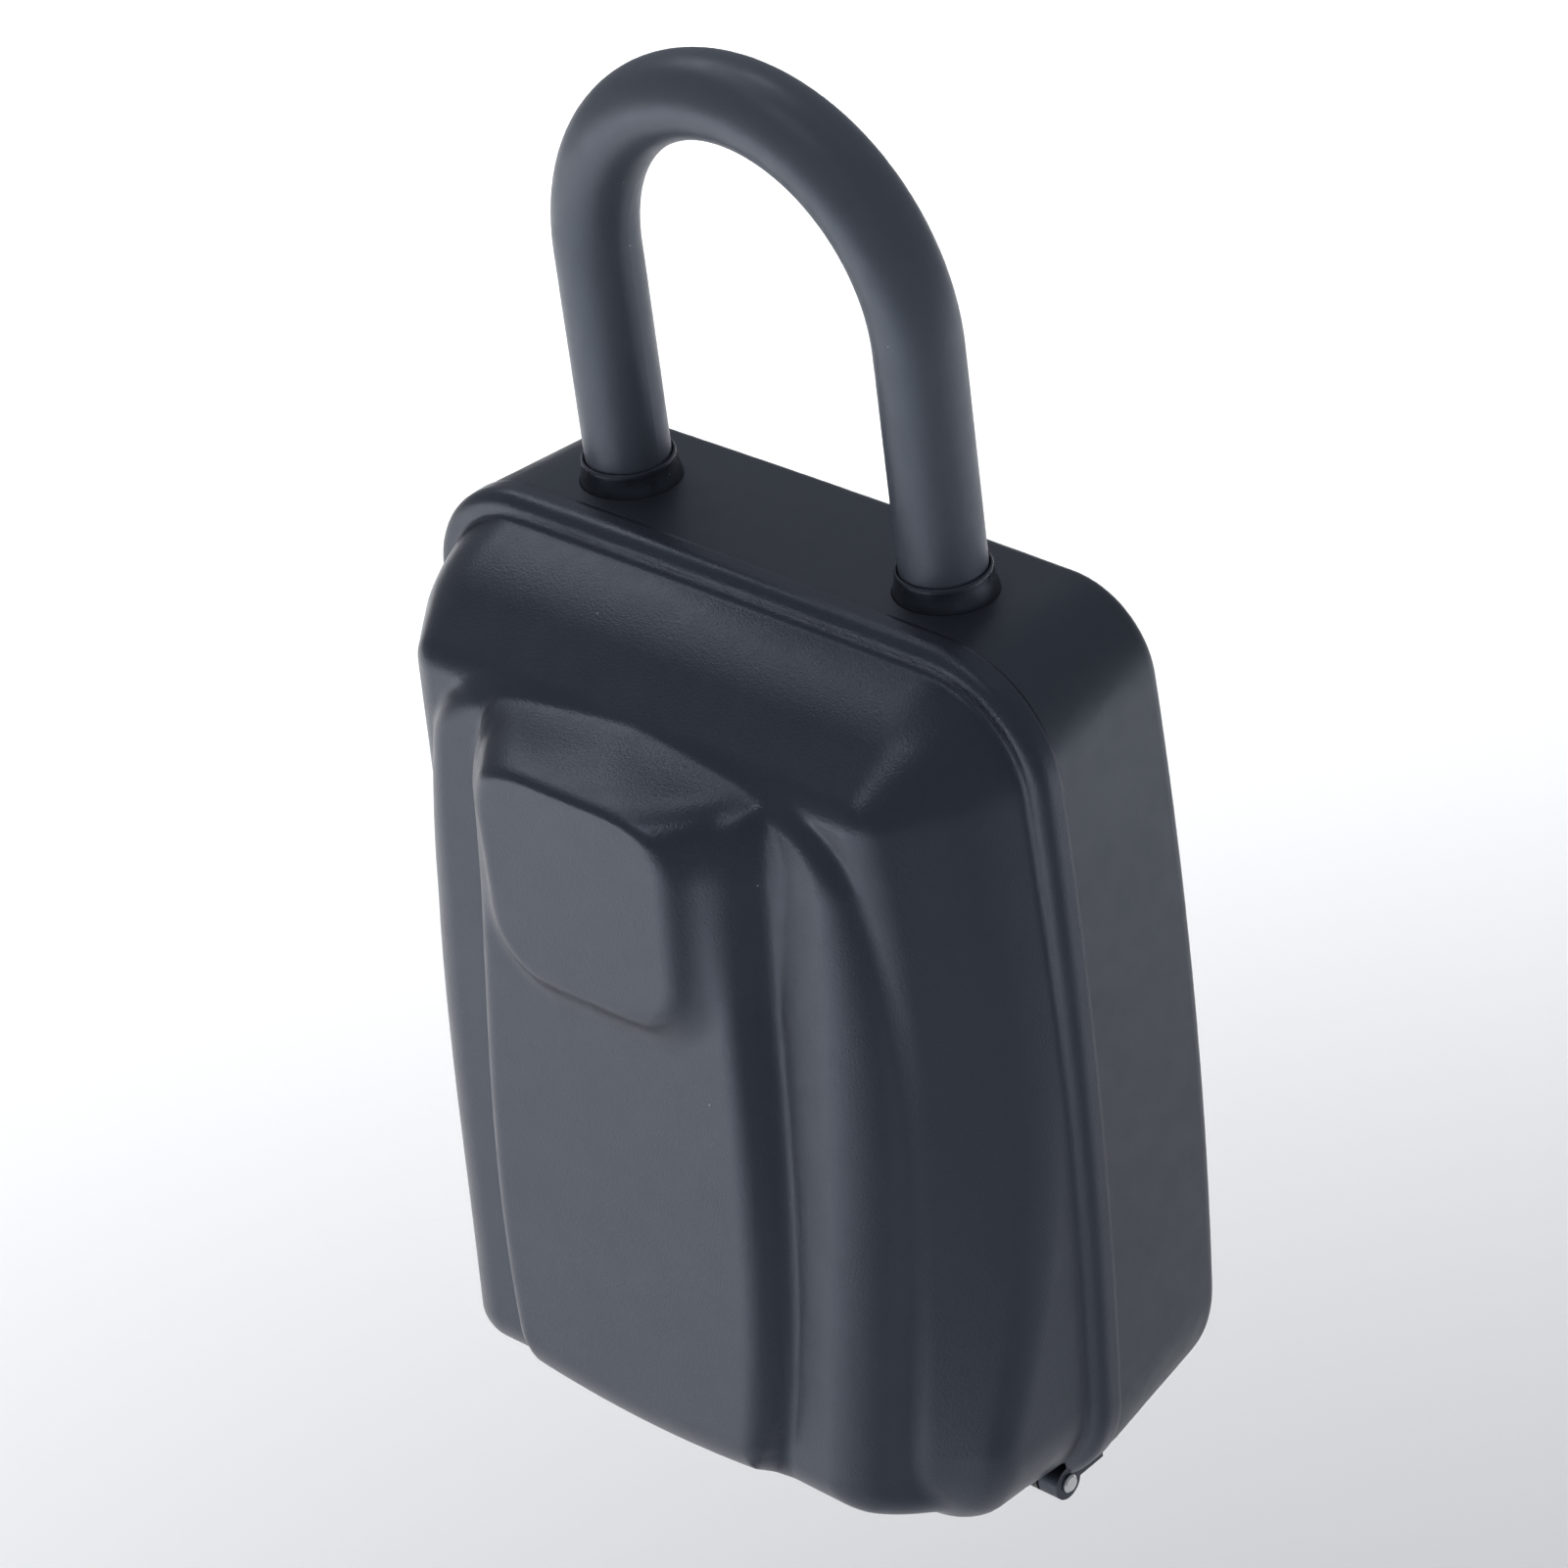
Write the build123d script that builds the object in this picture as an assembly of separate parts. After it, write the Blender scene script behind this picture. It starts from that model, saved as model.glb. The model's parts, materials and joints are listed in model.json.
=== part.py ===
"""Shackle key lock box: a cast key case hung from a removable shackle, with a drop-down
combination door and a moulded weather cover hinged on the same pin.

Frame, in millimetres: the origin is the centre of the shackle's bend, +Z is up,
-Y is the front (the cover's side) and +X is to the right of someone facing the front.
"""
from build123d import *
import math
import os

# ---- shackle ---------------------------------------------------------------
ROD_R = 4.0
SLEEVE_R = 5.5
LEG_X = 26.15                      # half the spacing of the two legs
COLLAR_TOP = -29.2
COLLAR_R = 6.6
LEG_TIP = -58.5
GROOVE_R = 2.7                     # locking groove turned in each leg
GROOVE_TOP = -50.0
GROOVE_BOTTOM = -53.4
LEG_PLAY = 0.35                    # round the rod in the loose plates

# ---- case -------------------------------------------------------------------
BACK_Y = 14.1
GAP_Y = -9.1                       # where the cover's lip ends on the case
RIM_Y = -11.8                      # front edge of the case's rim
CASE_BOTTOM = -159.0
WALL = 3.0
BLOCK_BOTTOM = -54.0               # underside of the shackle block inside the case
BLOCK_FRONT = -6.0
RIM_INSET = 2.9                    # rim step, from the cover's outer outline
OPENING_INSET = 6.7                # mouth of the key compartment, from the same outline
LOCK_SCREW_X = 14.0                # screws of the plate under the shackle block
LOCK_SCREW_Y = 7.5
LOCK_PLATE = 1.6                   # thickness of that plate
KEEPER_X = 12.0                    # half the width of the latch keeper
KEEPER_TOP = -39.4
KEEPER_SHEET = 1.2
KEEPER_SCREW_X = 8.0
KEEPER_SCREW_Z = -44.0

# ---- hinge ------------------------------------------------------------------
PIN_Y = -11.5
PIN_Z = -156.6
PIN_R = 1.25
PIN_HALF = 41.6
PIN_BORE_HALF = 45.0               # cut right through everything on the pin
KNUCKLE_R = 2.4
RUN = 0.05                         # radial running clearance
COVER_KNUCKLE = 19.6               # half the length of the cover's knuckle
DOOR_KNUCKLE = (20.0, 37.6)
CASE_LUG = (38.0, 41.0)

# ---- cover ------------------------------------------------------------------
COVER_WALL = 2.0
CREASE_Y = -13.2                   # front face of the cover's lip
TILT = 5.2                         # lean of the whole relief, degrees
LIP_INSET = 2.4
LIP_FRONT = 1.2                    # thickness of the lip's front wall
TIER_TOP_Z = -29.2                 # level from which the leaning planes are measured
SHOULDER_Y = -25.3
STRIP_Y = -31.4
PANEL_Y = -36.9
BOSS_Y = -41.6

# ---- door and lock ----------------------------------------------------------
DOOR_REAR = -12.8
DOOR_FRONT = -15.4
HOUSING_HALF = 16.6
HOUSING_FRONT = -36.4
HOUSING_TOP = -52.8
HOUSING_BOTTOM = -134.0
HOUSING_WALL = 2.0
DIAL_BOX_HALF = 12.5
DIAL_BOX_FRONT = -38.6
DIAL_BOX_BOTTOM = -73.6
DIAL_COUNT = 4
DIAL_Y = -32.0
DIAL_Z = -64.0
DIAL_R = 8.4
DIAL_PITCH = 5.4
DIAL_WIDTH = 3.0
CAM_R = 5.1
CAM_WIDTH = 1.0
DRIVE_CIRCLE = 4.2                 # radius at which the cam's peg enters its dial
CAM_GAP = 1.2                      # from a dial's side to its cam while the code is being set
HUB_R = 3.0
SHAFT_R = 2.0
FENCE_X = 2.7                      # from a dial's centre to its fence finger
LATCH_TRAVEL = 3.5
FENCE_TOP = DIAL_Z + 3.7           # top of the fence fingers with the latch drawn back
SPRING_SEAT = -110.0
SPRING_TOP = -95.4
LATCH_REAR = -16.8                 # rear face of the latch plate
LATCH_FRONT = -18.4
HOOK_X = (5.6, 9.4)                # the latch hooks, on each side
LEVER_X = (11.95, 13.15)           # the code change lever, from side to side
LEAF_REAR = -22.9                  # rear face of the detent spring's leaf
LEAF_SHEET = 0.3


def plane_at(y):
    """Upright plane facing the front at depth y, with X to the right and Z up."""
    return Plane.XZ.offset(-y)


def leaning_plane(y):
    """Plane of one step of the relief: it leans forward towards its bottom."""
    lean = math.radians(TILT)
    return Plane(
        origin=(0, y, TIER_TOP_Z),
        x_dir=(1, 0, 0),
        z_dir=(0, -math.cos(lean), math.sin(lean)),
    )


def outline(plane, half_top, half_bottom, top, bottom, r_top, r_bottom, bulge=0.0, arch=0.0):
    """Rounded keystone, symmetric about X = 0, with bowed sides and a bowed top."""
    middle = (top + bottom) / 2
    half = (half_top + half_bottom) / 2 + bulge
    with BuildSketch(plane) as sketch:
        with BuildLine():
            Line((-half_bottom, bottom), (half_bottom, bottom))
            if bulge:
                ThreePointArc((half_bottom, bottom), (half, middle), (half_top, top))
                ThreePointArc((-half_top, top), (-half, middle), (-half_bottom, bottom))
            else:
                Line((half_bottom, bottom), (half_top, top))
                Line((-half_top, top), (-half_bottom, bottom))
            if arch:
                ThreePointArc((half_top, top), (0, top + arch), (-half_top, top))
            else:
                Line((half_top, top), (-half_top, top))
        make_face()
        fillet(sketch.vertices().group_by(Axis.Y)[0], r_bottom)
        fillet(sketch.vertices().group_by(Axis.Y)[-1], r_top)
    return sketch.sketch


def body_outline(y, inset):
    """The cover's outer outline at depth y, moved inwards by inset."""
    return outline(
        plane_at(y),
        49.8 - inset,
        48.3 - inset,
        -32.0 - inset,
        CASE_BOTTOM + inset,
        15.2 - 0.5 * inset,
        19.0 - 0.5 * inset,
        bulge=2.5,
        arch=0.5,
    )


def slab(face, depth):
    """Push a face towards the front by depth."""
    return extrude(face, amount=depth)


def box(low, high):
    """Box between two corners."""
    size = [b - a for a, b in zip(low, high)]
    centre = [(a + b) / 2 for a, b in zip(low, high)]
    return Pos(*centre) * Box(*size)


def rod_x(radius, x0, x1, y, z):
    """Round bar along X from x0 to x1."""
    return Pos((x0 + x1) / 2, y, z) * Rot(0, 90, 0) * Cylinder(radius, x1 - x0)


def rod_y(radius, y0, y1, x, z):
    """Round bar along Y from y0 to y1."""
    return Pos(x, (y0 + y1) / 2, z) * Rot(90, 0, 0) * Cylinder(radius, y1 - y0)


def rod_z(radius, z0, z1, x, y):
    """Round bar along Z from z0 to z1."""
    return Pos(x, y, (z0 + z1) / 2) * Cylinder(radius, z1 - z0)


def both_sides(shape):
    """A shape and its mirror image about X = 0."""
    return shape + mirror(shape, about=Plane.YZ)


def bend_path(end_z):
    """Up the left leg, round the bend and down the right leg."""
    left = Line((-LEG_X, 0, end_z), (-LEG_X, 0, 0))
    bend = ThreePointArc((-LEG_X, 0, 0), (0, 0, LEG_X), (LEG_X, 0, 0))
    right = Line((LEG_X, 0, 0), (LEG_X, 0, end_z))
    return left + bend + right


def bent_bar(radius, end_z):
    """Round bar bent into the shackle's shape."""
    start = Plane(origin=(-LEG_X, 0, end_z), z_dir=(0, 0, 1))
    return sweep(start * Circle(radius), path=bend_path(end_z))


# ---- shackle ------------------------------------------------------------------
def shackle_rod():
    """Hardened rod with a turned groove and a chamfered tip on each leg."""
    bar = bent_bar(ROD_R, LEG_TIP)
    ring = rod_z(ROD_R + 1, GROOVE_BOTTOM, GROOVE_TOP, LEG_X, 0)
    ring -= rod_z(GROOVE_R, GROOVE_BOTTOM, GROOVE_TOP, LEG_X, 0)
    bar -= both_sides(ring)
    return chamfer(bar.edges().filter_by(GeomType.CIRCLE).group_by(Axis.Z)[0], 0.8)


def shackle_sleeve():
    """Vinyl tube over the bend, whose ends stand inside the two collars."""
    end = COLLAR_TOP - 3.0
    return bent_bar(SLEEVE_R, end) - bent_bar(ROD_R + 0.02, end - 1)


def shackle_collar(x):
    """Rubber grommet ring round one leg, seated in the case's top."""
    ring = rod_z(COLLAR_R, COLLAR_TOP - 5.4, COLLAR_TOP, x, 0)
    ring = fillet(ring.edges().group_by(Axis.Z)[-1], 0.7)
    ring -= rod_z(SLEEVE_R + 0.12, COLLAR_TOP - 3.4, COLLAR_TOP + 1, x, 0)
    return ring - rod_z(ROD_R + 0.3, COLLAR_TOP - 6, COLLAR_TOP, x, 0)


def leg_holes(radius, low, high):
    """Two round holes for the legs."""
    return both_sides(rod_z(radius, low, high, LEG_X, 0))


def slide_shape(grow, low, high):
    """Outline of the shackle lock slide, with grow of clearance round it."""
    ends = box((-33 - grow, -6 - grow, low), (33 + grow, 6 + grow, high))
    return ends - box((-17 + grow, -7 - grow, low - 1), (17 - grow, -2.5 - grow, high + 1))


def shackle_lock_slide():
    """Steel plate with two keyholes, which grips both leg grooves when it slides right."""
    low, high = -53.0, -50.6
    plate = slide_shape(0, low, high)
    for x in (-LEG_X, LEG_X):
        plate -= rod_z(ROD_R + LEG_PLAY, low - 1, high + 1, x, 0)
        narrow = GROOVE_R + 0.3
        plate -= box((x - LATCH_TRAVEL, -narrow, low - 1), (x, narrow, high + 1))
        plate -= rod_z(narrow, low - 1, high + 1, x - LATCH_TRAVEL, 0)
    tab = box((-5, 2.0, -66), (5, 4.0, low))
    tab = fillet(tab.edges().filter_by(Axis.Y).group_by(Axis.Z)[0], 1.5)
    return plate + tab


def lock_cover_plate():
    """Plate screwed under the shackle block, which holds the slide in its pocket."""
    plate = box((-37, -6.6, BLOCK_BOTTOM - LOCK_PLATE), (37, 9.5, BLOCK_BOTTOM))
    plate -= box((-17.5, -7, BLOCK_BOTTOM - 2), (17.5, -2.8, BLOCK_BOTTOM + 1))
    plate -= leg_holes(ROD_R + LEG_PLAY, BLOCK_BOTTOM - 2, BLOCK_BOTTOM + 1)
    plate -= box((-5.5, 1.6, BLOCK_BOTTOM - 2), (5.5 + LATCH_TRAVEL, 4.4, BLOCK_BOTTOM + 1))
    for x in (-LOCK_SCREW_X, LOCK_SCREW_X):
        plate -= rod_z(1.3, BLOCK_BOTTOM - 2, BLOCK_BOTTOM + 1, x, LOCK_SCREW_Y)
    return plate


def pan_screw(length, head_r, shank_r):
    """Pan-head screw along +Z with its head's underside at the origin."""
    head = Pos(0, 0, -0.8) * Cylinder(head_r, 1.6)
    head = fillet(head.edges().group_by(Axis.Z)[0], 0.6)
    slot_a = Pos(0, 0, -1.3) * Box(0.5, 1.3 * head_r, 0.8)
    slot_b = Pos(0, 0, -1.3) * Box(1.3 * head_r, 0.5, 0.8)
    return head + Pos(0, 0, length / 2) * Cylinder(shank_r, length) - slot_a - slot_b


def lock_plate_screws():
    """The two screws that hold the cover plate of the shackle lock."""
    screw = pan_screw(5, 2.2, 1.2)
    places = [(x, LOCK_SCREW_Y, BLOCK_BOTTOM - LOCK_PLATE) for x in (-LOCK_SCREW_X, LOCK_SCREW_X)]
    return Compound([Pos(*place) * screw for place in places])


# ---- case ----------------------------------------------------------------------
def rear_case():
    """Cast case: drafted walls, shackle block at the top, hinge lugs at the bottom."""
    rear = outline(plane_at(BACK_Y), 45.9, 45.4, -33.8, CASE_BOTTOM, 12.0, 23.0, 2.9, 0.5)
    front = body_outline(GAP_Y, 0.5)
    shell = loft([rear, front], ruled=True)
    back_edges = shell.edges().filter_by_position(Axis.Y, BACK_Y - 0.01, BACK_Y + 0.01)
    shell = fillet(back_edges, 2.6)
    shell += slab(body_outline(GAP_Y + 0.5, RIM_INSET), 0.5 + GAP_Y - RIM_Y)
    inner_rear = outline(plane_at(BACK_Y - WALL), 41.5, 41.0, -38.5, -154.5, 9.0, 18.0, 2.9)
    hollow = loft([inner_rear, body_outline(RIM_Y - 1, OPENING_INSET)], ruled=True)
    block = box((-44, BLOCK_FRONT, BLOCK_BOTTOM), (44, BACK_Y, -30))
    shell -= hollow - block
    shell -= leg_holes(ROD_R + RUN, BLOCK_BOTTOM - 1, 0)
    shell -= leg_holes(COLLAR_R + 0.02, COLLAR_TOP - 5.42, 0)
    pocket = slide_shape(0.3, BLOCK_BOTTOM - 1, -50.3)
    shell -= pocket + Pos(LATCH_TRAVEL, 0, 0) * pocket
    for x in (-LOCK_SCREW_X, LOCK_SCREW_X):
        shell -= rod_z(1.22, BLOCK_BOTTOM - 1, BLOCK_BOTTOM + 6, x, LOCK_SCREW_Y)
    for x in (-KEEPER_SCREW_X, KEEPER_SCREW_X):
        shell -= rod_y(1.02, BLOCK_FRONT - 1, BLOCK_FRONT + 6, x, KEEPER_SCREW_Z)
    return hinge_side_of_case(shell)


def hinge_side_of_case(shell):
    """Open the case's bottom rim round the hinge and add the two pin lugs."""
    shell -= box((-50, -20, -165), (50, -6.5, -149))
    with BuildSketch(Plane.YZ) as ramp:
        with BuildLine():
            Polyline((-7, -154.5), (-7, -161), (2.6, -161), (2.6, CASE_BOTTOM), (-7, -154.5))
        make_face()
    shell -= extrude(ramp.sketch, amount=60, both=True)
    lug = rod_x(KNUCKLE_R, *CASE_LUG, PIN_Y, PIN_Z)
    lug += box((CASE_LUG[0], PIN_Y, PIN_Z - 0.4), (CASE_LUG[1], -4.5, PIN_Z + KNUCKLE_R))
    return shell + both_sides(lug) - rod_x(PIN_R + RUN, -PIN_BORE_HALF, PIN_BORE_HALF, PIN_Y, PIN_Z)


def latch_keeper():
    """Angle of steel screwed to the shackle block, which the latch hooks reach behind."""
    rear_y = BLOCK_FRONT - KEEPER_SHEET
    wall = box((-KEEPER_X, -10.9, -57.2), (KEEPER_X, -9.4, KEEPER_TOP))
    foot = box((-KEEPER_X, -9.4, KEEPER_TOP - 1.6), (KEEPER_X, rear_y, KEEPER_TOP))
    rear = box((-KEEPER_X, rear_y, -48.0), (KEEPER_X, BLOCK_FRONT, KEEPER_TOP))
    keeper = wall + foot + rear
    for x in (-KEEPER_SCREW_X, KEEPER_SCREW_X):
        keeper -= rod_y(1.1, BLOCK_FRONT - 2, BLOCK_FRONT + 1, x, KEEPER_SCREW_Z)
        keeper -= rod_y(2.2, -12, -9, x, KEEPER_SCREW_Z)
    return keeper


def keeper_screws():
    """The two screws of the latch keeper."""
    screw = Rot(-90, 0, 0) * pan_screw(5, 1.8, 1.0)
    places = [(x, BLOCK_FRONT - KEEPER_SHEET, KEEPER_SCREW_Z) for x in (-KEEPER_SCREW_X, KEEPER_SCREW_X)]
    return Compound([Pos(*place) * screw for place in places])


def hinge_pin():
    """Steel pin through the case's lugs, the door's knuckles and the cover's knuckle."""
    pin = rod_x(PIN_R, -PIN_HALF, PIN_HALF, PIN_Y, PIN_Z)
    return chamfer(pin.edges().filter_by(GeomType.CIRCLE), 0.25)


# ---- door ----------------------------------------------------------------------
def door_plate(y, depth):
    """The door's flat plate, clear of the cover's inside."""
    return slab(outline(plane_at(y), 44.4, 42.6, -37.2, -152.6, 12.5, 15.5, 2.4, 0.4), depth)


def housing(grow, front, rear):
    """The raised box in the middle of the door."""
    face = outline(
        plane_at(rear),
        HOUSING_HALF - grow,
        HOUSING_HALF - grow,
        HOUSING_TOP - grow,
        HOUSING_BOTTOM + grow,
        max(3.0 - grow, 0.8),
        max(4.0 - grow, 0.8),
    )
    return slab(face, rear - front)


def dial_box(grow, front, rear):
    """The block in front of the housing through which the dials show."""
    half = DIAL_BOX_HALF - grow
    face = outline(plane_at(rear), half, half, HOUSING_TOP - grow, DIAL_BOX_BOTTOM + grow, 1.6, 1.6)
    return slab(face, rear - front)


def dial_x(index):
    """Centre of dial index 0 to 3."""
    return (index - (DIAL_COUNT - 1) / 2) * DIAL_PITCH


def front_door():
    """Cast door with the dial housing, hinge knuckles and pivots for the lock parts."""
    door = door_plate(DOOR_REAR, DOOR_REAR - DOOR_FRONT)
    door = chamfer(door.faces().sort_by(Axis.Y)[0].edges(), 1.0)
    door += housing(0, HOUSING_FRONT, DOOR_FRONT + 0.5)
    door += dial_box(0, DIAL_BOX_FRONT, HOUSING_FRONT + 1)
    door -= housing(HOUSING_WALL, HOUSING_FRONT + HOUSING_WALL, DOOR_REAR + 1)
    door -= dial_box(1.6, DIAL_BOX_FRONT + 1.6, HOUSING_FRONT + 3)
    door += both_sides(box((13.3, HOUSING_FRONT + 1, DIAL_Z - 5), (15.7, DOOR_FRONT, DIAL_Z + 5)))
    door += box((-14.9, -26.0, -76.0), (14.9, -20.5, -73.3))
    door += box((-14.9, -34.9, SPRING_SEAT - 2), (14.9, -19.0, SPRING_SEAT))
    door -= rod_x(5.4, -10.8, 12.1, DIAL_Y, DIAL_Z)
    door -= rod_x(3.3, -13.2, 13.3, DIAL_Y, DIAL_Z)
    door -= rod_x(SHAFT_R + RUN, -16.0, 16.0, DIAL_Y, DIAL_Z)
    for index in range(DIAL_COUNT):
        x = dial_x(index)
        half = DIAL_WIDTH / 2 + 0.2
        door -= rod_x(DIAL_R + 0.3, x - half, x + half, DIAL_Y, DIAL_Z)
    door -= box((-4.3, -45, -92.6), (4.3, HOUSING_FRONT + 3, -78.0))
    ledge = both_sides(box((14.0, -17.4, -130), (HOUSING_HALF - 1, DOOR_FRONT, -74)))
    ledge += both_sides(box((14.0, -17.4, -58), (HOUSING_HALF - 1, DOOR_FRONT, -54.5)))
    door += ledge
    for x, z in plate_screw_places():
        door += rod_y(1.6, -20.0, -16.0, x, z)
        door -= rod_y(0.92, -19.0, -10, x, z)
    web = box((DOOR_KNUCKLE[0], -13.6, PIN_Z), (DOOR_KNUCKLE[1], -11.2, -151.8))
    knuckle = rod_x(KNUCKLE_R, *DOOR_KNUCKLE, PIN_Y, PIN_Z)
    door += both_sides(knuckle + web)
    return door - rod_x(PIN_R + RUN, -PIN_BORE_HALF, PIN_BORE_HALF, PIN_Y, PIN_Z)


def plate_screw_places():
    """Places of the four screws of the lock's back plate."""
    return [(x, z) for x in (-12.9, 12.9) for z in (-57.0, -128.0)]


def mechanism_back_plate():
    """Plate that closes the lock from inside the case, with slots for the latch hooks."""
    plate = slab(outline(plane_at(DOOR_REAR - 0.1), 14.3, 14.3, -55.1, -131.7, 1.5, 1.5), 1.4)
    for x, z in plate_screw_places():
        plate -= rod_y(1.0, -20, -10, x, z)
    plate -= both_sides(box((5.0, -20, -63.6), (10.0, -10, -55.9)))
    return plate - box((10.6, -20, -69.8), (13.6, -10, -66.6))


def plate_screws():
    """The four screws of the back plate."""
    screw = Rot(90, 0, 0) * pan_screw(4.2, 1.5, 0.9)
    return Compound([Pos(x, DOOR_REAR - 0.1, z) * screw for x, z in plate_screw_places()])


def door_seal():
    """Rubber ring behind the door's edge, which stands inside the compartment's mouth."""
    outer = outline(plane_at(-11.2), 42.4, 40.9, -39.4, -150.4, 11.0, 13.5, 2.4, 0.4)
    inner = outline(plane_at(-11.2), 40.6, 39.1, -41.2, -148.6, 9.2, 11.7, 2.4, 0.4)
    return slab(outer, -11.2 - DOOR_REAR) - slab(inner, -11.2 - DOOR_REAR)


# ---- lock ----------------------------------------------------------------------
def latch_plate():
    """Steel slide behind the dials: a fence finger for each cam, two hooks and a spring foot."""
    plate = box((-9.6, LATCH_FRONT, -94.0), (9.6, LATCH_REAR, FENCE_TOP))
    plate += box((-4.0, -24.6, SPRING_TOP), (4.0, LATCH_REAR, -94.0))
    for index in range(DIAL_COUNT):
        x = dial_x(index) + FENCE_X
        plate += box((x - 0.8, -28.6, FENCE_TOP - 1.6), (x + 0.2, LATCH_REAR, FENCE_TOP))
    plate += box((9.0, LATCH_FRONT, FENCE_TOP - 1.6), (11.0, LATCH_REAR, FENCE_TOP))
    hook = box((HOOK_X[0], LATCH_REAR - 0.2, -63.0), (HOOK_X[1], -6.6, -61.0))
    hook += box((HOOK_X[0], -9.0, -61.2), (HOOK_X[1], -6.6, -57.9))
    hook = fillet(hook.edges().filter_by(Axis.X).sort_by(Axis.Z)[-1], 0.6)
    return plate + both_sides(hook)


def open_button():
    """Ribbed thumb button on the latch plate, which stands out under the dials."""
    button = box((-4.0, -38.0, -92.2), (4.0, -30.0, -82.0))
    button = fillet(button.edges().filter_by(Axis.X).group_by(Axis.Y)[0], 0.9)
    for rib in range(4):
        button -= box((-3.2, -38.4, -90.6 + 2.2 * rib), (3.2, -37.4, -89.6 + 2.2 * rib))
    return button + box((-2.4, -30.2, -90.0), (2.4, LATCH_FRONT, -84.2))


def latch_spring():
    """Compression spring that pushes the latch plate up."""
    wire_r = 0.35
    coil_r = 2.3
    low = SPRING_SEAT + wire_r + 0.02
    high = SPRING_TOP - wire_r - 0.02
    path = Pos(0, -21.0, low) * Helix(pitch=(high - low) / 7, height=high - low, radius=coil_r)
    section = Plane(origin=path @ 0, z_dir=path % 0) * Circle(wire_r)
    return sweep(section, path=path)


def dial_wheel(index):
    """Number wheel with ten grip flutes and ten drive holes in its right side."""
    x = dial_x(index)
    half = DIAL_WIDTH / 2
    wheel = rod_x(DIAL_R, x - half, x + half, DIAL_Y, DIAL_Z)
    wheel = fillet(wheel.edges().filter_by(GeomType.CIRCLE), 0.3)
    flute = rod_x(0.7, x - half - 1, x + half + 1, DIAL_Y, DIAL_Z + DIAL_R + 0.35)
    hole = rod_x(0.62, x + half - 0.9, x + half + 1, DIAL_Y, DIAL_Z + DRIVE_CIRCLE)
    axle = Axis((x, DIAL_Y, DIAL_Z), (1, 0, 0))
    for step in range(10):
        wheel -= flute.rotate(axle, 36 * step + 18)
        wheel -= hole.rotate(axle, 36 * step)
    return wheel - rod_x(HUB_R + RUN, x - half - 1, x + half + 1, DIAL_Y, DIAL_Z)


def cam_sleeve(index):
    """Hub inside one dial with its cam disc, the disc's gate and the drive peg."""
    x = dial_x(index)
    face = x + DIAL_WIDTH / 2 + CAM_GAP
    cam = rod_x(HUB_R, face + CAM_WIDTH - 5.2, face + CAM_WIDTH, DIAL_Y, DIAL_Z)
    cam += rod_x(CAM_R, face, face + CAM_WIDTH, DIAL_Y, DIAL_Z)
    cam += rod_x(0.45, face - 0.75, face + 0.2, DIAL_Y, DIAL_Z + DRIVE_CIRCLE)
    gate = box((face - 0.1, -28.95, DIAL_Z + 1.8), (face + CAM_WIDTH + 0.1, -25, DIAL_Z + 6))
    return cam - gate - rod_x(SHAFT_R, x - 9, x + 9, DIAL_Y, DIAL_Z)


def dial_shaft():
    """Shaft that carries the cams and slides a little along its axis."""
    shaft = rod_x(SHAFT_R, -14.6, 15.6, DIAL_Y, DIAL_Z)
    return chamfer(shaft.edges().filter_by(GeomType.CIRCLE), 0.3)


def code_change_lever():
    """Arm on the shaft's right end, moved from inside the door to set a new code."""
    left, right = LEVER_X
    arm = rod_x(2.9, left, right, DIAL_Y, DIAL_Z)
    arm += box((left, DIAL_Y, DIAL_Z - 2.9), (right, -28.0, DIAL_Z + 1.0))
    arm += box((left, -29.0, -69.4), (right, -26.0, DIAL_Z - 1.0))
    arm += box((left, -28.0, -69.4), (right, -10.4, -67.0))
    return arm - rod_x(SHAFT_R, 11, 14, DIAL_Y, DIAL_Z)


def dial_detent_spring():
    """Leaf spring with one finger behind each dial."""
    front = LEAF_REAR - LEAF_SHEET
    leaf = box((-10.4, -25.4, -73.3), (10.4, LEAF_REAR, -73.3 + LEAF_SHEET))
    leaf += box((-10.4, front, -73.3), (10.4, LEAF_REAR, -70.5))
    for index in range(DIAL_COUNT):
        x = dial_x(index)
        leaf += box((x - 1.1, front, -70.6), (x + 1.1, LEAF_REAR, -60.8))
    return leaf


# ---- weather cover -------------------------------------------------------------
def relief_step(y, inset, half_top, half_bottom, top, bottom, radius, depth, taper):
    """One raised step of the cover on its leaning plane, which hangs back past its depth."""
    plane = leaning_plane(y + inset)
    face = outline(
        plane,
        half_top - inset,
        half_bottom - inset,
        top - inset,
        bottom + inset,
        radius,
        radius,
        bulge=0.9,
    )
    return extrude(face, amount=inset - COVER_WALL - depth, taper=-taper)


def cover_mass(inset):
    """Outer form of the cover, or its hollow when moved inwards by the wall."""
    mouth = body_outline(CREASE_Y, LIP_INSET - 0.3 + inset)
    waist = outline(
        plane_at(-21.0), 45.4 - inset, 44.2 - inset, -36.6 - inset, -155.2 + inset, 14, 17, 2.4
    )
    shoulder = outline(
        leaning_plane(SHOULDER_Y + inset),
        38.6 - inset, 36.8 - inset, -15.5 - inset, -122.8 + inset, 13, 15, 2.0,
    )
    mass = loft([mouth, waist], ruled=True) + loft([waist, shoulder], ruled=True)
    if inset:
        mass += slab(body_outline(CREASE_Y + 2, LIP_INSET - 0.3 + inset), 2)
    mass += relief_step(STRIP_Y, inset, 32.6, 33.4, -18.6, -119.0, 6.0, 7.5, 22)
    mass += relief_step(PANEL_Y, inset, 20.4, 19.8, -17.0, -112.0, 3.0, 8.0, 20)
    mass += relief_step(BOSS_Y, inset, 14.6, 14.6, -20.3, -46.2, 6.5, 10.0, 14)
    return mass


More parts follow.
